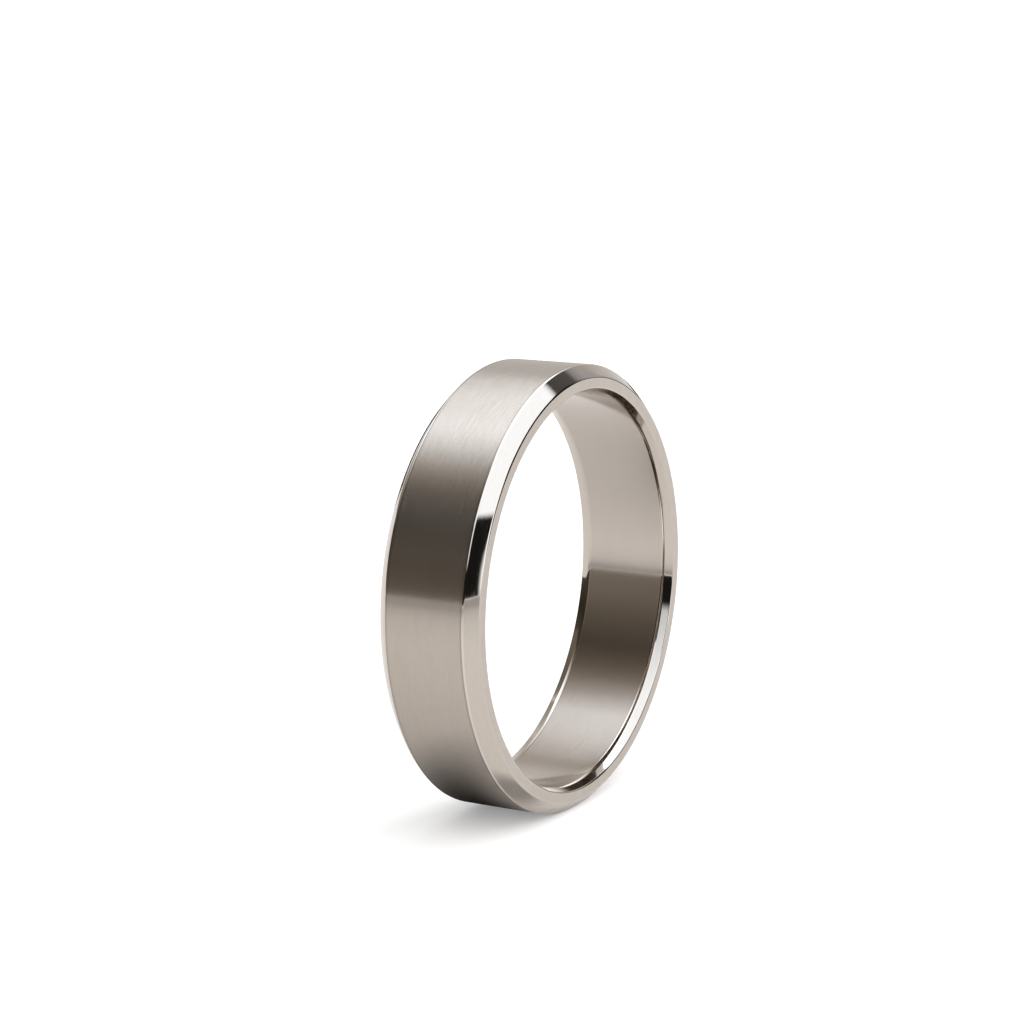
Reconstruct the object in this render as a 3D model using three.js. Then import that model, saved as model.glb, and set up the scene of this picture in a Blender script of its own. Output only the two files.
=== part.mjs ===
// A plain wedding band, turned from one seamless piece of metal: a flat outer wall with a
// bevel along each edge, flat side faces, and a shallow bevel at each end of the finger hole.
// Millimetres, +Z up. The band stands on its rim with its axis along Y, and the origin is the
// centre of the finger hole.
import * as THREE from "three";

// Driving dimensions, in millimetres.
const INNER_DIAMETER = 18.2; // finger hole: a ring of US size 8
const WALL = 1.25; // thickness from the finger hole to the outer wall
const WIDTH = 5.0; // from side face to side face
const BEVEL_WIDTH = 0.55; // reach of each outer bevel along the axis
const BEVEL_DEPTH = 0.55; // reach of each outer bevel down the side face
const INNER_BEVEL_WIDTH = 0.45; // reach of each inner bevel along the axis
const INNER_BEVEL_DEPTH = 0.18; // reach of each inner bevel up the side face

const FACETS_AROUND = 96;

const METAL_COLOUR = 0xc6bcb2; // warm light grey

// The band's cross-section, with the radius as x and the place along the axis as y. It runs
// anticlockwise from the outer wall and closes on itself, so the turned faces point outwards.
function bandSection() {
  const innerRadius = INNER_DIAMETER / 2;
  const outerRadius = innerRadius + WALL;
  const halfWidth = WIDTH / 2;
  const halfOuterWall = halfWidth - BEVEL_WIDTH;
  const halfHoleWall = halfWidth - INNER_BEVEL_WIDTH;
  const faceOuterRadius = outerRadius - BEVEL_DEPTH;
  const faceInnerRadius = innerRadius + INNER_BEVEL_DEPTH;

  const section = new THREE.Path();
  section.moveTo(outerRadius, -halfOuterWall);
  section.lineTo(outerRadius, halfOuterWall);
  section.lineTo(faceOuterRadius, halfWidth);
  section.lineTo(faceInnerRadius, halfWidth);
  section.lineTo(innerRadius, halfHoleWall);
  section.lineTo(innerRadius, -halfHoleWall);
  section.lineTo(faceInnerRadius, -halfWidth);
  section.lineTo(faceOuterRadius, -halfWidth);
  section.closePath();
  return section.getPoints();
}

// The whole band: its section turned once about the Y axis.
function makeBand() {
  const geometry = new THREE.LatheGeometry(bandSection(), FACETS_AROUND);
  const metal = new THREE.MeshStandardMaterial({
    color: METAL_COLOUR,
    roughness: 0.3,
    metalness: 1.0,
  });
  const band = new THREE.Mesh(geometry, metal);
  band.name = "band";
  return band;
}

const group = new THREE.Group();
group.add(makeBand());

export default group;
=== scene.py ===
"""Looks of a plain wedding band with a brushed outer wall and polished bevels, in metres.

The band is turned about the Y axis and stands on its rim, with its centre at the origin. Its
sizes are measured on the CAD node that it stands for. It is laid out as a Blender add-on and
run as a script: the operators make the band and the studio round it.
"""

import math

import bpy
import numpy as np
from bpy.props import FloatProperty, FloatVectorProperty, IntProperty, PointerProperty
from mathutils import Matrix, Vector


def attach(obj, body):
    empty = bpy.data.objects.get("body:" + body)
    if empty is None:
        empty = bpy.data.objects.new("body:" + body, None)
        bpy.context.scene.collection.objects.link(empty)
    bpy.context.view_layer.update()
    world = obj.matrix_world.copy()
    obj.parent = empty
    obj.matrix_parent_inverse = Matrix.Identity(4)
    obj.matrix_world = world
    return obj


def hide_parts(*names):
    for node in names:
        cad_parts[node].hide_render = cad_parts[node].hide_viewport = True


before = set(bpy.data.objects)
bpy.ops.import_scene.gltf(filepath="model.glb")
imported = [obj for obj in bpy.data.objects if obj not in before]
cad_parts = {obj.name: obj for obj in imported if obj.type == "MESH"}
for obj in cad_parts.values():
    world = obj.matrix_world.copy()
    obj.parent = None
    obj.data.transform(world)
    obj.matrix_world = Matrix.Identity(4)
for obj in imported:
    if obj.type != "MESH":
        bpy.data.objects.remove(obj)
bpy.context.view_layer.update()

bl_info = {
    "name": "Wedding Band",
    "version": (1, 0, 0),
    "blender": (4, 5, 0),
    "location": "3D View > Sidebar > Band",
    "description": "Makes a brushed wedding band with polished bevels, and a studio for it",
    "category": "Add Mesh",
}

MM = 0.001
CAD_NODE = "band"
ROOT_BODY = "root"
BRUSHING_MAP = "across_brushing"
# Mesh attribute for how near a point is to a corner between wall and bevel, which places the
# painted highlight and painted shade there.
EDGE_ATTRIBUTE = "edge_highlight_and_shade"

# The zones of the surface, in the order of the band's material slots.
BRUSHED_WALL, POLISHED_BEVEL, POLISHED_FACE, SATIN_HOLE = range(4)

# Faces across each kind of run of the section.
STRAIGHT_STEPS, CROWNED_STEPS, WALL_CORNER_STEPS, CORNER_STEPS = 6, 8, 8, 10

# Sockets of the Mix node when it mixes colours.
MIX_FACTOR, MIX_FIRST, MIX_SECOND, MIX_RESULT = 0, 6, 7, 2


def measure_band(obj, slack=0.01 * MM):
    """The band's radii and half widths, read off the CAD node's own points."""
    count = len(obj.data.vertices)
    points = np.empty(count * 3, np.float32)
    obj.data.vertices.foreach_get("co", points)
    x, y, z = points.reshape(-1, 3).astype(float).T
    radius, place = np.hypot(x, z), np.abs(y)
    on_face = place > place.max() - slack
    return {
        "outer_radius": float(radius.max()),
        "hole_radius": float(radius.min()),
        "half_width": float(place.max()),
        "bevel_foot": float(radius[on_face].max()),
        "inner_foot": float(radius[on_face].min()),
        "half_wall": float(place[radius > radius.max() - slack].max()),
        "half_hole": float(place[radius < radius.min() + slack].max()),
    }


CAD = measure_band(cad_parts[CAD_NODE])


def length(name, description, default):
    """A size in metres that the user can change."""
    return FloatProperty(
        name=name, description=description, default=default, min=0.0,
        precision=6, subtype="DISTANCE", unit="LENGTH",
    )


def colour(name, description, default):
    """A linear colour that the user can change."""
    return FloatVectorProperty(
        name=name, description=description, default=default,
        size=3, min=0.0, max=1.0, subtype="COLOR",
    )


def share(name, description, default):
    """A number from 0 to 1 that the user can change."""
    return FloatProperty(
        name=name, description=description, default=default, min=0.0, max=1.0,
        subtype="FACTOR",
    )


class BandSizes(bpy.types.PropertyGroup):
    """Sizes of the band. The defaults come from the CAD node."""

    outer_radius: length("Outer Radius", "Radius of the outer wall", CAD["outer_radius"])
    hole_radius: length("Hole Radius", "Radius of the finger hole", CAD["hole_radius"])
    half_width: length("Half Width", "From the middle to a side face", CAD["half_width"])
    bevel_foot: length("Bevel Foot", "Radius where bevel meets side face", CAD["bevel_foot"])
    inner_foot: length("Inner Foot", "Radius where the inner bevel starts", CAD["inner_foot"])
    half_wall: length("Half Wall", "From the middle to a bevel", CAD["half_wall"])
    half_hole: length("Half Hole", "From the middle to an inner bevel", CAD["half_hole"])
    wall_corner: length("Wall Corner", "Rounding between wall and bevel", 0.15 * MM)
    face_corner: length("Face Corner", "Rounding between bevel and side face", 0.20 * MM)
    edge_corner: length("Edge Corner", "Rounding between side face and inner bevel", 0.10 * MM)
    hole_corner: length("Hole Corner", "Rounding between inner bevel and hole", 0.70 * MM)
    # The reach of the painted highlight and painted shade beside a corner between wall and
    # bevel.
    painted_edge_reach: length("Edge Shine", "Reach of the polish beside a corner", 0.07 * MM)
    crown: FloatProperty(
        name="Crown", description="Turn of an outer bevel's surface at each of its borders",
        default=math.radians(3.0), min=0.0, subtype="ANGLE", unit="ROTATION",
    )
    steps_around: IntProperty(
        name="Steps Around", description="Faces around the band", default=640, min=48
    )


class BandFinish(bpy.types.PropertyGroup):
    """Colours and finishes of the band's metal."""

    # One metal: the faces, wall and hole get darker colours than the bevels, a painted shade
    # that sets how bright each zone comes out.
    polished_colour: colour("Polished", "Colour of the polished metal", (0.53, 0.473, 0.421))
    face_colour: colour("Faces", "Colour of the side faces", (0.487, 0.435, 0.387))
    brushed_colour: colour("Brushed", "Colour of the brushed wall", (0.455, 0.400, 0.350))
    hole_colour: colour("Hole", "Colour of the satin finger hole", (0.490, 0.435, 0.388))
    tone_range: share("Tone Range", "How far the brushing lines differ in tone", 0.06)
    wall_roughness: share("Wall Roughness", "Roughness of the brushed wall", 0.22)
    hole_roughness: share("Hole Roughness", "Roughness of the finger hole", 0.15)
    bevel_roughness: share("Bevel Roughness", "Roughness of the bevels", 0.05)
    face_roughness: share("Face Roughness", "Roughness of the side faces", 0.10)
    line_length: length("Line Length", "Length of a brushing line", 0.8 * MM)
    line_width: length("Line Width", "Width of a brushing line", 0.045 * MM)
    line_depth: length("Line Depth", "Depth of a brushing line", 0.0003 * MM)


class StudioSettings(bpy.types.PropertyGroup):
    """Camera, floor and light."""

    azimuth: FloatProperty(
        name="Azimuth", description="Camera's place round the band; 0 looks along +Y",
        default=math.radians(-61.55), subtype="ANGLE", unit="ROTATION",
    )
    elevation: FloatProperty(
        name="Elevation", description="Camera's height above the band's centre",
        default=math.radians(12.16), subtype="ANGLE", unit="ROTATION",
    )
    pan: FloatProperty(
        name="Pan", description="Turn of the camera away from the band's centre",
        default=math.radians(0.57), subtype="ANGLE", unit="ROTATION",
    )
    tilt: FloatProperty(
        name="Tilt", description="Tilt of the camera away from the band's centre",
        default=math.radians(-1.57), subtype="ANGLE", unit="ROTATION",
    )
    distance: length("Distance", "From the camera to the band's centre", 123.3 * MM)
    lens: FloatProperty(name="Lens", description="Focal length", default=93.8, unit="CAMERA")
    floor_reach: length("Floor Reach", "Half of the floor's side", 3.0)
    floor_colour: colour("Floor", "Colour of the floor", (0.80, 0.80, 0.80))
    backdrop: FloatProperty(
        name="Backdrop", description="Brightness of the floor and of what lies behind it",
        default=1.1, min=0.0,
    )
    floor_lift: share("Floor Lift", "Light added to the floor as the camera sees it", 0.25)
    lean: share("Lean", "How far the light on the floor comes from before the band", 1.0)


# ---- The band's surface ----------------------------------------------------------------


def eased_steps(steps):
    """Numbers from 0 to 1, closer together near both: (1 - cos(pi k / steps)) / 2."""
    return (1 - np.cos(np.pi * np.arange(steps + 1) / steps)) / 2


def straight(start, end, normal):
    """Points from start to end at eased steps of the way, with one normal."""
    t = eased_steps(STRAIGHT_STEPS)
    points = np.asarray(start) + np.outer(t, np.subtract(end, start))
    return points, np.tile(normal, (len(t), 1))


def round_corner(corner, before, after, radius, steps=CORNER_STEPS):
    """An arc that takes the corner off two straight runs with the normals before and after.

    Its centre is corner - radius (before + after) / (1 + before . after), and a point on it
    is the centre plus the radius times the normal, which turns evenly from one to the other.
    """
    before, after = np.asarray(before), np.asarray(after)
    centre = np.asarray(corner) - radius * (before + after) / (1 + before @ after)
    turns = np.linspace(
        math.atan2(before[1], before[0]), math.atan2(after[1], after[0]), steps + 1
    )
    normals = np.stack([np.cos(turns), np.sin(turns)], -1)
    return centre + radius * normals, normals


def bevel_normal(start, end):
    """The outward normal of a straight run from start to end: its direction turned right."""
    run = np.subtract(end, start)
    return np.array([run[1], -run[0]]) / np.linalg.norm(run)


def rotated(vector, angle):
    """A pair turned by an angle, from the first axis towards the second."""
    cos, sin = math.cos(angle), math.sin(angle)
    return np.array([cos * vector[0] - sin * vector[1], sin * vector[0] + cos * vector[1]])


def crowned(start, end, normal, crown):
    """A run from start to end that swells a little and turns from -crown to +crown.

    With t the eased steps of the way and w the run's width, it rises w tan(crown) t (1 - t)
    above the straight line, and its normal is turned by crown (2 t - 1).
    """
    t = eased_steps(CROWNED_STEPS)
    run = np.subtract(end, start)
    rise = np.linalg.norm(run) * math.tan(crown) * t * (1 - t)
    points = np.asarray(start) + np.outer(t, run) + np.outer(rise, normal)
    normals = np.array([rotated(normal, crown * (2 * each - 1)) for each in t])
    return points, normals


def half_section(s):
    """The runs of the section from the middle of the wall round to the middle of the hole.

    Each run is (zone, points, normals), with the radius first and the place along the axis
    second. Runs share their end points, and the surface turns smoothly from one to the next.
    """
    wall_end = np.array([s.outer_radius, s.half_wall])
    bevel_end = np.array([s.bevel_foot, s.half_width])
    face_end = np.array([s.inner_foot, s.half_width])
    inner_end = np.array([s.hole_radius, s.half_hole])
    outwards, sideways, inwards = np.array([(1.0, 0.0), (0.0, 1.0), (-1.0, 0.0)])
    outer_slope = bevel_normal(wall_end, bevel_end)
    inner_slope = bevel_normal(face_end, inner_end)
    bevel_start, bevel_stop = rotated(outer_slope, -s.crown), rotated(outer_slope, s.crown)

    wall_corner = round_corner(
        wall_end, outwards, bevel_start, s.wall_corner, WALL_CORNER_STEPS
    )
    face_corner = round_corner(bevel_end, bevel_stop, sideways, s.face_corner)
    edge_corner = round_corner(face_end, sideways, inner_slope, s.edge_corner)
    hole_corner = round_corner(inner_end, inner_slope, inwards, s.hole_corner)
    wall = straight((s.outer_radius, 0), wall_corner[0][0], outwards)
    outer_bevel = crowned(wall_corner[0][-1], face_corner[0][0], outer_slope, s.crown)
    face = straight(face_corner[0][-1], edge_corner[0][0], sideways)
    inner_bevel = straight(edge_corner[0][-1], hole_corner[0][0], inner_slope)
    hole = straight(hole_corner[0][-1], (s.hole_radius, 0), inwards)
    return [
        (BRUSHED_WALL, *wall),
        (POLISHED_BEVEL, *wall_corner),
        (POLISHED_BEVEL, *outer_bevel),
        (POLISHED_BEVEL, *face_corner),
        (POLISHED_FACE, *face),
        (POLISHED_BEVEL, *edge_corner),
        (POLISHED_BEVEL, *inner_bevel),
        (POLISHED_BEVEL, *hole_corner),
        (SATIN_HOLE, *hole),
    ]


def whole_section(s):
    """The closed section: the half section, and its mirror image back to the start.

    Returns the points, the normals, the zone of the strip after each point, and how near each
    point is to a corner: exp(-(d / reach)^2), with d the way to the nearest corner between
    the wall and a bevel. This nearness places the painted highlight and painted shade.
    """
    runs = half_section(s)
    points = np.concatenate([run[1][:-1] for run in runs])
    normals = np.concatenate([run[2][:-1] for run in runs])
    zones = np.concatenate([np.full(len(run[1]) - 1, run[0]) for run in runs])
    last_point, last_normal = runs[-1][1][-1:], runs[-1][2][-1:]

    mirror = np.array([1.0, -1.0])
    mirrored_points = np.concatenate([last_point, points[:0:-1]]) * mirror
    mirrored_normals = np.concatenate([last_normal, normals[:0:-1]]) * mirror
    points = np.concatenate([points, mirrored_points])
    normals = np.concatenate([normals, mirrored_normals])
    zones = np.concatenate([zones, zones[::-1]])

    corners = np.array([(s.outer_radius, s.half_wall), (s.outer_radius, -s.half_wall)])
    away = np.linalg.norm(points[:, None] - corners[None], axis=-1).min(axis=1)
    return points, normals, zones, np.exp(-((away / s.painted_edge_reach) ** 2))


def turned(section, directions):
    """Carries (radius, place) pairs round the Y axis: x = r sin a, y = place, z = r cos a."""
    radius, place = section[:, 0], section[:, 1]
    x = np.outer(directions[:, 0], radius)
    z = np.outer(directions[:, 1], radius)
    y = np.broadcast_to(place, x.shape)
    return np.stack([x, y, z], -1).reshape(-1, 3)


def make_band_mesh(s):
    """The band as a closed grid: the section times evenly spaced turns about the Y axis.

    Point (i, j) is section point j turned by 2 pi i / steps. Both directions close on
    themselves. The UV map runs across the brushing first, so that its U direction is the
    way in which the brushed metal spreads its reflections.
    """
    points, normals, zones, edge_nearness = whole_section(s)
    around, along = s.steps_around, len(points)
    angle = 2 * np.pi * np.arange(around) / around
    directions = np.stack([np.sin(angle), np.cos(angle)], -1)

    i, j = np.meshgrid(np.arange(around), np.arange(along), indexing="ij")
    next_i, next_j = (i + 1) % around, (j + 1) % along
    faces = np.stack(
        [i * along + j, next_i * along + j, next_i * along + next_j, i * along + next_j], -1
    ).reshape(-1, 4)

    mesh = bpy.data.meshes.new("wedding_band")
    mesh.from_pydata(turned(points, directions), [], faces)
    mesh.polygons.foreach_set("material_index", np.tile(zones, around).astype(np.int32))
    mesh.polygons.foreach_set("use_smooth", np.ones(len(faces), bool))

    steps = np.linalg.norm(np.roll(points, -1, axis=0) - points, axis=1)
    across = np.concatenate([[0.0], np.cumsum(steps)])
    about = 2 * np.pi * s.outer_radius * np.arange(around + 1) / around
    corner_u = np.stack([across[j], across[j], across[j + 1], across[j + 1]], -1)
    corner_v = np.stack([about[i], about[i + 1], about[i + 1], about[i]], -1)
    uv = np.stack([corner_u, corner_v], -1).astype(np.float32)
    mesh.uv_layers.new(name=BRUSHING_MAP).data.foreach_set("uv", uv.ravel())

    # Stores each point's nearness to a wall corner, which places the painted highlight and
    # painted shade.
    painted_edge_light = mesh.attributes.new(EDGE_ATTRIBUTE, "FLOAT", "POINT")
    painted_edge_light.data.foreach_set("value", np.tile(edge_nearness, around).astype(np.float32))
    mesh.normals_split_custom_set_from_vertices(turned(normals, directions))
    mesh.validate()
    mesh.update()
    return mesh


# ---- Node helpers ----------------------------------------------------------------------


def add_node(tree, kind, inputs=(), **settings):
    """A node with its settings, each input linked to a socket or set to a value."""
    made = tree.nodes.new(kind)
    for name, value in settings.items():
        setattr(made, name, value)
    for name, value in dict(inputs).items():
        if isinstance(value, bpy.types.NodeSocket):
            tree.links.new(value, made.inputs[name])
        else:
            made.inputs[name].default_value = value
    return made


def calculate(tree, operation, *values):
    """A Math node's result."""
    return add_node(
        tree, "ShaderNodeMath", enumerate(values), operation=operation
    ).outputs[0]


def product(tree, *values):
    """The product of two or more numbers."""
    result = values[0]
    for value in values[1:]:
        result = calculate(tree, "MULTIPLY", result, value)
    return result


def weighted_sum(tree, *pairs):
    """The sum of value times weight over the pairs of a value and its weight."""
    total = product(tree, *pairs[0])
    for value, weight in pairs[1:]:
        total = calculate(tree, "ADD", total, product(tree, value, weight))
    return total


def blend_number(tree, factor, first, second):
    """first + factor (second - first)."""
    step = calculate(tree, "SUBTRACT", second, first)
    return calculate(tree, "ADD", first, product(tree, factor, step))


def mix_colours(tree, factor, first, second):
    """A Mix node's colour."""
    return add_node(
        tree, "ShaderNodeMix",
        {MIX_FACTOR: factor, MIX_FIRST: first, MIX_SECOND: second}, data_type="RGBA",
    ).outputs[MIX_RESULT]


def rescale(tree, value, low, high, to_low=0.0, to_high=1.0, smooth=False):
    """A Map Range node's result: low to high becomes to_low to to_high."""
    return add_node(
        tree, "ShaderNodeMapRange",
        {
            "Value": value, "From Min": low, "From Max": high,
            "To Min": to_low, "To Max": to_high,
        },
        interpolation_type="SMOOTHSTEP" if smooth else "LINEAR",
    ).outputs["Result"]


def object_place(tree):
    """Where a point lies on its object, in metres."""
    return add_node(tree, "ShaderNodeTexCoord").outputs["Object"]


def noise(tree, sizes, detail=2.0, roughness=0.5):
    """Noise whose grains have the given sizes in metres along X, Y and Z of the object."""
    scaled = add_node(
        tree, "ShaderNodeMapping",
        {"Vector": object_place(tree), "Scale": [1 / size for size in sizes]},
    ).outputs["Vector"]
    return add_node(
        tree, "ShaderNodeTexNoise",
        {"Vector": scaled, "Scale": 1.0, "Detail": detail, "Roughness": roughness},
    ).outputs["Fac"]


# ---- The metal's finishes --------------------------------------------------------------


# The lowest and highest values that noise usually reaches.
NOISE_RANGE = (0.3, 0.7)


def tone(base, factor):
    """A colour with alpha, lighter or darker than base by the factor."""
    return (*[min(1.0, channel * factor) for channel in base], 1.0)


def corner_factor(tree):
    """How near a point is to a corner between the wall and a bevel, from 0 to 1, as stored on
    the mesh; it places the painted highlight and painted shade.
    """
    return add_node(
        tree, "ShaderNodeAttribute", attribute_type="GEOMETRY", attribute_name=EDGE_ATTRIBUTE
    ).outputs["Fac"]


def lined_metal(name, base, finish, roughness, spread, depth, contrast, shade):
    """Metal brushed around the band: fine lines that differ in tone, gloss and height.

    The lines differ in tone by the finish's tone range times the contrast, and in roughness
    by the spread. Reflections spread across the lines. Beside its corner with a bevel, the
    metal's colour is darkened by the shade: a painted shade, drawn as a dark line.
    """
    material = bpy.data.materials.new(name)
    material.use_nodes = True
    tree = material.node_tree
    shader = tree.nodes["Principled BSDF"]
    long, fine = finish.line_length, finish.line_width
    lines = noise(tree, (long, fine, long), roughness=0.6)
    bands = noise(tree, (5 * long, 7 * fine, 5 * long))
    grain = noise(tree, (1.6 * fine, fine, 1.6 * fine), detail=1.0)
    clouds = noise(tree, (2.5 * MM, 2.5 * MM, 2.5 * MM))
    mixed = weighted_sum(tree, (lines, 0.4), (bands, 0.15), (grain, 0.3), (clouds, 0.15))
    reach = contrast * finish.tone_range
    toned = mix_colours(
        tree, rescale(tree, mixed, 0.38, 0.62), tone(base, 1 - reach), tone(base, 1 + reach)
    )
    # Painted shade: the wall's colour turns darker next to its corner with a bevel.
    painted_shade = rescale(tree, corner_factor(tree), 0.0, 0.5, 0.0, shade, smooth=True)
    tree.links.new(
        mix_colours(tree, painted_shade, toned, tone(base, 0.3)), shader.inputs["Base Color"]
    )
    tree.links.new(
        rescale(tree, lines, *NOISE_RANGE, roughness - spread, roughness + spread),
        shader.inputs["Roughness"],
    )
    bump = add_node(
        tree, "ShaderNodeBump", {"Height": lines, "Strength": 1.0, "Distance": depth}
    )
    tree.links.new(bump.outputs["Normal"], shader.inputs["Normal"])
    tangent = add_node(
        tree, "ShaderNodeTangent", direction_type="UV_MAP", uv_map=BRUSHING_MAP
    ).outputs["Tangent"]
    tree.links.new(tangent, shader.inputs["Tangent"])
    shader.inputs["Metallic"].default_value = 1.0
    return material, shader


def brushed_metal(finish):
    """The outer wall: strongly brushed around the band."""
    material, shader = lined_metal(
        "brushed_wall", finish.brushed_colour, finish, finish.wall_roughness,
        spread=0.015, depth=finish.line_depth, contrast=1.0, shade=0.4,
    )
    shader.inputs["Anisotropic"].default_value = 1.0
    return material


def satin_metal(finish):
    """The finger hole: an even satin that still mirrors what is near."""
    material, shader = lined_metal(
        "satin_hole", finish.hole_colour, finish, finish.hole_roughness,
        spread=0.01, depth=0.1 * finish.line_depth, contrast=0.4, shade=0.0,
    )
    shader.inputs["Anisotropic"].default_value = 0.8
    return material


def polished_metal(name, base, finish, roughness):
    """Polished metal with hairlines around the band, and painted highlights on the corners with
    the wall.
    """
    material = bpy.data.materials.new(name)
    material.use_nodes = True
    tree = material.node_tree
    shader = tree.nodes["Principled BSDF"]
    long, fine = finish.line_length, 0.7 * finish.line_width
    hairlines = noise(tree, (0.6 * long, fine, 0.6 * long), roughness=0.6)
    clouds = noise(tree, (1.2 * MM, 1.2 * MM, 1.2 * MM), detail=3.0)
    toned = mix_colours(
        tree, rescale(tree, hairlines, *NOISE_RANGE), tone(base, 0.97), tone(base, 1.03)
    )
    # Painted highlight: the colour turns lighter along the corners between the bevel and the
    # wall.
    painted_highlight = rescale(tree, corner_factor(tree), 0.4, 0.9, smooth=True)
    tree.links.new(
        mix_colours(tree, painted_highlight, toned, tone(base, 1.2)), shader.inputs["Base Color"]
    )
    rough = product(
        tree, rescale(tree, hairlines, 0.35, 0.65, 0.5, 1.5),
        rescale(tree, clouds, *NOISE_RANGE, 0.9 * roughness, 1.1 * roughness),
    )
    tree.links.new(rough, shader.inputs["Roughness"])
    bump = add_node(
        tree, "ShaderNodeBump",
        {"Height": hairlines, "Strength": 1.0, "Distance": 0.1 * finish.line_depth},
    )
    tree.links.new(bump.outputs["Normal"], shader.inputs["Normal"])
    shader.inputs["Metallic"].default_value = 1.0
    return material


class WEDDINGBAND_OT_make_band(bpy.types.Operator):
    """Make the band with its brushed, polished and satin zones"""

    bl_idname = "weddingband.make_band"
    bl_label = "Make Band"

    def execute(self, context):
        scene = context.scene
        sizes, finish = scene.band_sizes, scene.band_finish
        band = bpy.data.objects.new("wedding_band", make_band_mesh(sizes))
        scene.collection.objects.link(band)
        materials = {
            BRUSHED_WALL: brushed_metal(finish),
            POLISHED_BEVEL: polished_metal(
                "polished_bevel", finish.polished_colour, finish, finish.bevel_roughness
            ),
            POLISHED_FACE: polished_metal(
                "polished_face", finish.face_colour, finish, finish.face_roughness
            ),
            SATIN_HOLE: satin_metal(finish),
        }
        for zone in sorted(materials):
            band.data.materials.append(materials[zone])
        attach(band, ROOT_BODY)
        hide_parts(CAD_NODE)
        return {"FINISHED"}


# ---- The studio ------------------------------------------------------------------------

# The metal is lit by a tent, whose brightness depends only on the direction of the mirrored
# ray. x, y and z are that direction's parts: x to the right, y to the back and z up.

# Brightness of three rows of the roof, from above the band to the back. Each is listed by
# the angle round the Y axis in degrees: 0 is straight up, and the left side is negative.
ROOF_NEAR = (
    (-90, 0.02), (-50, 0.02), (-38, 0.06), (-25, 0.46), (-13, 2.10), (0, 3.60),
    (12, 4.05), (25, 4.60), (37, 4.20), (49, 1.20), (61, 0.60), (73, 0.74), (90, 0.90),
)
ROOF_MIDDLE = (
    (-90, 0.36), (-78, 0.32), (-62, 0.19), (-46, 0.11), (-30, 0.18), (-14, 0.38),
    (1, 0.98), (17, 0.90), (32, 0.62), (48, 0.48), (64, 0.80), (90, 0.80),
)
ROOF_FAR = (
    (-90, 0.08), (-60, 0.04), (-38, 0.08), (-25, 0.35), (-13, 1.30), (0, 2.30),
    (12, 2.80), (25, 2.80), (37, 2.30), (49, 1.10), (61, 0.60), (73, 0.74), (90, 0.90),
)

# Brightness of the front wall, listed by x + FRONT_SLANT y.
FRONT_WALL = (
    (0.50, 2.00), (0.53, 1.40), (0.56, 0.10), (0.74, 0.14), (0.78, 0.44), (0.84, 0.60),
    (0.92, 0.56), (1.0, 0.72),
)
FRONT_SLANT = 0.2

# The ranges of y in which one part gives way to the next.
FRONT_TO_NEAR, NEAR_TO_MIDDLE, MIDDLE_TO_FAR = (-0.12, -0.04), (0.34, 0.42), (0.54, 0.64)

# The front wall is nearly black below this range of z + PANEL_SLANT x.
PANEL_RANGE, PANEL_SLANT, PANEL_BRIGHTNESS = (0.39, 0.34), 0.31, 0.015

# At the back the roof is no brighter than a limit, which falls from the first brightness to
# the second over its range of y. On the right it starts further forward.
LIMIT_RANGE, LIMIT_BRIGHTNESS = (0.72, 0.88), (0.95, 0.20)
LIMIT_START, LIMIT_START_RIGHT, LIMIT_RIGHT_DEGREES = (0.80, 0.86), (0.60, 0.68), (18, 30)

# A window on the left of the front wall: its borders in y and degrees, the range of z over
# which it fades in, and its brightness from its left end to its right end.
WINDOW_Y, WINDOW_DEGREES, WINDOW_RISE = (-0.66, -0.20), (-84, 0), (0.24, 0.34)
WINDOW_ENDS, WINDOW_BRIGHTNESS = (-70, -20), (1.1, 1.9)

# A window straight ahead of the front face.
FACE_WINDOW_Y, FACE_WINDOW_BRIGHTNESS = (-0.90, -0.93), 2.0

# A dark card at the front right: its borders in degrees clockwise from +Y, and in z.
CARD_COMPASS, CARD_Z, CARD_BRIGHTNESS = (122, 168), (-0.1, 0.47), 0.02

# Brightness beyond the floor's end, and the range of z in which it meets the tent.
FLOOR_BRIGHTNESS = 1.1
HORIZON = (-0.004, 0.0)

# The light goes from warm, where it is dark, to cool from a certain brightness on. The
# front wall's dark parts go FRONT_COOLNESS of the way to cool.
DARK_TINT = (1.12, 0.95, 0.74, 1.0)
BRIGHT_TINT = (0.91, 1.0, 1.10, 1.0)
BRIGHT_TINT_FROM = 1.35
FRONT_COOLNESS = 0.6

# The brightness for which a ramp's colour of 1 stands.
RAMP_UNIT = 4.0


def tent_ramp(tree, value, stops, low, high):
    """The tent's brightness for a value between low and high, read off the stops."""
    node = add_node(tree, "ShaderNodeValToRGB", {"Fac": rescale(tree, value, low, high)})
    elements = node.color_ramp.elements
    while len(elements) > 1:
        elements.remove(elements[-1])
    for k, (place, brightness) in enumerate(stops):
        way = (place - low) / (high - low)
        element = elements[0] if k == 0 else elements.new(way)
        element.position = way
        element.color = (*[brightness / RAMP_UNIT] * 3, 1.0)
    return product(tree, node.outputs["Color"], RAMP_UNIT)


def band_pass(tree, value, borders, soft):
    """1 where value lies between the borders, falling to 0 over the soft width beyond."""
    low, high = borders
    rise = rescale(tree, value, low - soft, low, smooth=True)
    fall = rescale(tree, value, high, high + soft, 1.0, 0.0, smooth=True)
    return product(tree, rise, fall)


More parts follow.
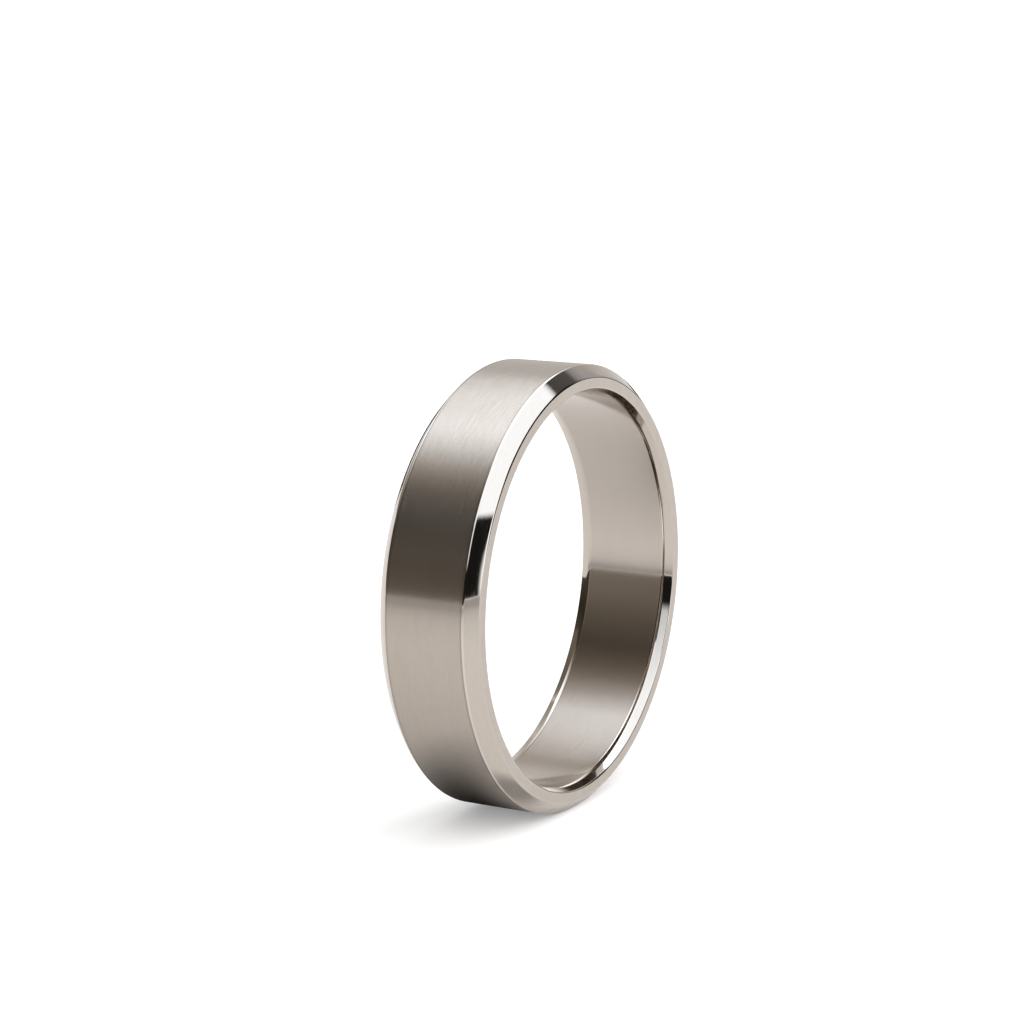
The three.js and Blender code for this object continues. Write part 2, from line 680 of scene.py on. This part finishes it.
def roof_light(tree, y, degrees):
    """The roof's brightness: its three rows, with a limit at the back."""
    near, middle, far = (
        tent_ramp(tree, degrees, stops, -180, 180)
        for stops in (ROOF_NEAR, ROOF_MIDDLE, ROOF_FAR)
    )
    light = blend_number(tree, rescale(tree, y, *NEAR_TO_MIDDLE, smooth=True), near, middle)
    light = blend_number(tree, rescale(tree, y, *MIDDLE_TO_FAR, smooth=True), light, far)
    limited = calculate(
        tree, "MAXIMUM", rescale(tree, y, *LIMIT_START, smooth=True),
        product(
            tree, rescale(tree, y, *LIMIT_START_RIGHT, smooth=True),
            rescale(tree, degrees, *LIMIT_RIGHT_DEGREES, smooth=True),
        ),
    )
    limit = rescale(tree, y, *LIMIT_RANGE, *LIMIT_BRIGHTNESS)
    return blend_number(tree, limited, light, calculate(tree, "MINIMUM", light, limit))


def front_light(tree, x, y, z):
    """The front wall's brightness, with the dark panel low on its left."""
    wall = tent_ramp(tree, weighted_sum(tree, (x, 1.0), (y, FRONT_SLANT)), FRONT_WALL, 0.0, 1.0)
    panel = rescale(
        tree, weighted_sum(tree, (z, 1.0), (x, PANEL_SLANT)), *PANEL_RANGE, smooth=True
    )
    return blend_number(tree, panel, wall, PANEL_BRIGHTNESS)


def tent_light(tree, x, y, z):
    """The brightness of the tent and of the floor's end in the direction (x, y, z).

    The front wall and the roof come first. Then the two windows, the dark card and the
    floor's end are laid over them in turn.
    """
    degrees = calculate(tree, "DEGREES", calculate(tree, "ARCTAN2", x, z))
    light = blend_number(
        tree, rescale(tree, y, *FRONT_TO_NEAR, smooth=True),
        front_light(tree, x, y, z), roof_light(tree, y, degrees),
    )
    window = product(
        tree, band_pass(tree, y, WINDOW_Y, 0.03), band_pass(tree, degrees, WINDOW_DEGREES, 2.0),
        rescale(tree, z, *WINDOW_RISE, smooth=True),
    )
    light = blend_number(
        tree, window, light, rescale(tree, degrees, *WINDOW_ENDS, *WINDOW_BRIGHTNESS)
    )
    face_window = rescale(tree, y, *FACE_WINDOW_Y, smooth=True)
    light = blend_number(tree, face_window, light, FACE_WINDOW_BRIGHTNESS)
    compass = calculate(tree, "DEGREES", calculate(tree, "ARCTAN2", x, y))
    card = product(
        tree, band_pass(tree, compass, CARD_COMPASS, 1.0), band_pass(tree, z, CARD_Z, 0.02)
    )
    light = blend_number(tree, card, light, CARD_BRIGHTNESS)
    return blend_number(tree, rescale(tree, z, *HORIZON), FLOOR_BRIGHTNESS, light)


def background(tree, colour, strength):
    """The shader of a Background node."""
    return add_node(
        tree, "ShaderNodeBackground", {"Color": colour, "Strength": strength}
    ).outputs[0]


def make_world(settings):
    """A light tent as the metal sees it, light on the floor, and a plain backdrop.

    The light that falls on the floor is even (1 - lean y), so that an open floor is as
    bright as the backdrop.
    """
    world = bpy.data.worlds.new("light_tent")
    world.use_nodes = True
    world.cycles.sampling_method = "NONE"
    tree = world.node_tree
    tree.nodes.clear()
    direction = add_node(tree, "ShaderNodeTexCoord").outputs["Generated"]
    parts = add_node(tree, "ShaderNodeSeparateXYZ", {"Vector": direction}).outputs
    x, y, z = parts["X"], parts["Y"], parts["Z"]
    light = tent_light(tree, x, y, z)
    coolness = rescale(tree, light, 0.0, BRIGHT_TINT_FROM)
    tint = mix_colours(tree, coolness, DARK_TINT, BRIGHT_TINT)
    in_front = rescale(tree, y, *reversed(FRONT_TO_NEAR), 0.0, FRONT_COOLNESS)
    tint = mix_colours(tree, in_front, tint, BRIGHT_TINT)

    white = (1.0, 1.0, 1.0, 1.0)
    even = settings.backdrop / settings.floor_colour[1]
    leaning = rescale(
        tree, y, -1, 1, even * (1 + settings.lean), even * (1 - settings.lean)
    )
    rays = add_node(tree, "ShaderNodeLightPath").outputs
    lit = add_node(
        tree, "ShaderNodeMixShader",
        {
            0: rays["Is Diffuse Ray"], 1: background(tree, tint, light),
            2: background(tree, white, leaning),
        },
    ).outputs[0]
    shown = add_node(
        tree, "ShaderNodeMixShader",
        {0: rays["Is Camera Ray"], 1: lit, 2: background(tree, white, settings.backdrop)},
    ).outputs[0]
    add_node(tree, "ShaderNodeOutputWorld", {"Surface": shown})
    return world


def make_floor(settings, height):
    """A flat square at the given height: a grid of points (u reach, v reach, height).

    It glows a little for the camera alone, which keeps the shadow on it faint.
    """
    cells = 8
    steps = np.linspace(-1, 1, cells + 1) * settings.floor_reach
    x, y = np.meshgrid(steps, steps, indexing="ij")
    points = np.stack([x, y, np.full_like(x, height)], -1).reshape(-1, 3)
    row = cells + 1
    i, j = np.meshgrid(np.arange(cells), np.arange(cells), indexing="ij")
    start = (i * row + j).ravel()
    mesh = bpy.data.meshes.new("floor")
    mesh.from_pydata(points, [], np.stack([start, start + row, start + row + 1, start + 1], -1))
    material = bpy.data.materials.new("floor_card")
    material.use_nodes = True
    tree = material.node_tree
    shader = tree.nodes["Principled BSDF"]
    shader.inputs["Base Color"].default_value = (*settings.floor_colour, 1.0)
    shader.inputs["Roughness"].default_value = 1.0
    shader.inputs["Specular IOR Level"].default_value = 0.0
    shader.inputs["Emission Color"].default_value = (1.0, 1.0, 1.0, 1.0)
    rays = add_node(tree, "ShaderNodeLightPath").outputs
    lift = product(tree, rays["Is Camera Ray"], settings.floor_lift)
    tree.links.new(lift, shader.inputs["Emission Strength"])
    mesh.materials.append(material)
    return bpy.data.objects.new("floor", mesh)


def card_object(name, points, strength):
    """A dark four-cornered card seen by the metal only, as opaque as strength(tree) says."""
    mesh = bpy.data.meshes.new(name)
    mesh.from_pydata(points, [], [(0, 1, 2, 3)])
    material = bpy.data.materials.new(name)
    material.use_nodes = True
    tree = material.node_tree
    shader = tree.nodes["Principled BSDF"]
    shader.inputs["Base Color"].default_value = (0.02, 0.018, 0.015, 1.0)
    shader.inputs["Roughness"].default_value = 1.0
    shader.inputs["Specular IOR Level"].default_value = 0.0
    tree.links.new(strength(tree), shader.inputs["Alpha"])
    mesh.materials.append(material)
    card = bpy.data.objects.new(name, mesh)
    card.visible_camera = False
    card.visible_diffuse = False
    card.visible_shadow = False
    return card


def vector_length(tree, vector):
    """A vector's length."""
    return add_node(
        tree, "ShaderNodeVectorMath", {0: vector}, operation="LENGTH"
    ).outputs["Value"]


def make_far_card(name, height, near, full, strongest, compass, spread, far=1.5):
    """A dark wedge of the floor from near to far, for a dark line along the horizon.

    It is as wide as the spread to each side of its compass bearing, where 0 is +Y, and its
    strength grows evenly with the distance from the centre, from 0 at near to its strongest
    at full.
    """
    bearings = (compass - spread, compass + spread)
    points = [
        (reach * math.sin(bearing), reach * math.cos(bearing), height)
        for reach, pair in ((far, bearings), (near, bearings[::-1])) for bearing in pair
    ]

    def strength(tree):
        away = vector_length(tree, object_place(tree))
        return rescale(tree, away, near, full, 0.0, strongest)

    return card_object(name, points, strength)


def make_near_card(name, height, centre, reach, strongest):
    """A painted shadow: a dark patch on the floor near the band, seen by the metal only, which
    fades out towards its oval border.

    With d the distance from the centre in units of the reach along X and Y, its strength
    falls smoothly from its strongest at d = 0.25 to 0 at d = 1.05. The card ends at 1.1.
    """
    points = [
        (centre[0] + 1.1 * u * reach[0], centre[1] + 1.1 * v * reach[1], height)
        for u, v in ((-1, -1), (1, -1), (1, 1), (-1, 1))
    ]

    def strength(tree):
        moved = add_node(
            tree, "ShaderNodeVectorMath", {0: object_place(tree), 1: (*centre, height)},
            operation="SUBTRACT",
        ).outputs[0]
        scaled = add_node(
            tree, "ShaderNodeVectorMath", {0: moved, 1: (1 / reach[0], 1 / reach[1], 0.0)},
            operation="MULTIPLY",
        ).outputs[0]
        away = vector_length(tree, scaled)
        return rescale(tree, away, 0.25, 1.05, strongest, 0.0, smooth=True)

    return card_object(name, points, strength)


def make_cards(ground):
    """The four cards that lie just above the floor: two far dark ones, and two near ones that
    are painted shadow.
    """
    far_height, near_height = ground + 0.02 * MM, ground + 0.03 * MM
    return [
        make_far_card(
            "right_card", far_height, near=50 * MM, full=60 * MM, strongest=1.0,
            compass=math.radians(57), spread=math.radians(20),
        ),
        make_far_card(
            "left_card", far_height, near=35 * MM, full=220 * MM, strongest=0.5,
            compass=math.radians(-95), spread=math.radians(65),
        ),
        make_near_card(
            "under_painted_shadow", near_height, centre=(0.0, 1.9 * MM),
            reach=(12.5 * MM, 4.0 * MM), strongest=0.93,
        ),
        make_near_card(
            "front_painted_shadow", near_height, centre=(-5.3 * MM, -3.1 * MM),
            reach=(3.2 * MM, 1.3 * MM), strongest=0.55,
        ),
    ]


def outward(azimuth, elevation):
    """The direction of a camera's place round the band, as seen from the band."""
    return Vector((
        math.sin(azimuth) * math.cos(elevation),
        -math.cos(azimuth) * math.cos(elevation),
        math.sin(elevation),
    ))


def make_camera(settings):
    """A camera at its distance from the band's centre, panned and tilted off it a little."""
    data = bpy.data.cameras.new("camera")
    data.lens = settings.lens
    data.clip_start = 0.01 * settings.distance
    data.clip_end = 4 * settings.floor_reach
    camera = bpy.data.objects.new("camera", data)
    camera.location = settings.distance * outward(settings.azimuth, settings.elevation)
    axis = outward(settings.azimuth + settings.pan, settings.elevation + settings.tilt)
    camera.rotation_euler = (-axis).to_track_quat("-Z", "Y").to_euler()
    return camera


class WEDDINGBAND_OT_make_stage(bpy.types.Operator):
    """Make the floor, the light tent and the camera"""

    bl_idname = "weddingband.make_stage"
    bl_label = "Make Stage"

    def execute(self, context):
        scene = context.scene
        settings = scene.band_studio
        ground = -scene.band_sizes.outer_radius
        for stage in (make_floor(settings, ground), *make_cards(ground)):
            scene.collection.objects.link(stage)
        scene.world = make_world(settings)
        scene.camera = make_camera(settings)
        scene.collection.objects.link(scene.camera)
        scene.view_settings.view_transform = "Standard"
        return {"FINISHED"}


class WEDDINGBAND_PT_sidebar(bpy.types.Panel):
    """Sizes, finishes and operators of the band in the 3D view's sidebar"""

    bl_label = "Wedding Band"
    bl_idname = "WEDDINGBAND_PT_sidebar"
    bl_space_type = "VIEW_3D"
    bl_region_type = "UI"
    bl_category = "Band"

    def draw(self, context):
        layout = self.layout
        for group in (context.scene.band_sizes, context.scene.band_finish):
            box = layout.box()
            for name in group.__annotations__:
                box.prop(group, name)
        for operator in (WEDDINGBAND_OT_make_band, WEDDINGBAND_OT_make_stage):
            layout.operator(operator.bl_idname)


CLASSES = (
    BandSizes,
    BandFinish,
    StudioSettings,
    WEDDINGBAND_OT_make_band,
    WEDDINGBAND_OT_make_stage,
    WEDDINGBAND_PT_sidebar,
)


def register():
    """Registers the classes and puts their settings on the scene."""
    for each in CLASSES:
        bpy.utils.register_class(each)
    bpy.types.Scene.band_sizes = PointerProperty(type=BandSizes)
    bpy.types.Scene.band_finish = PointerProperty(type=BandFinish)
    bpy.types.Scene.band_studio = PointerProperty(type=StudioSettings)


def unregister():
    """Takes away what register() added."""
    del bpy.types.Scene.band_studio
    del bpy.types.Scene.band_finish
    del bpy.types.Scene.band_sizes
    for each in reversed(CLASSES):
        bpy.utils.unregister_class(each)


def main():
    """Makes the stage and the band."""
    register()
    bpy.ops.weddingband.make_stage()
    bpy.ops.weddingband.make_band()


if __name__ == "__main__":
    main()
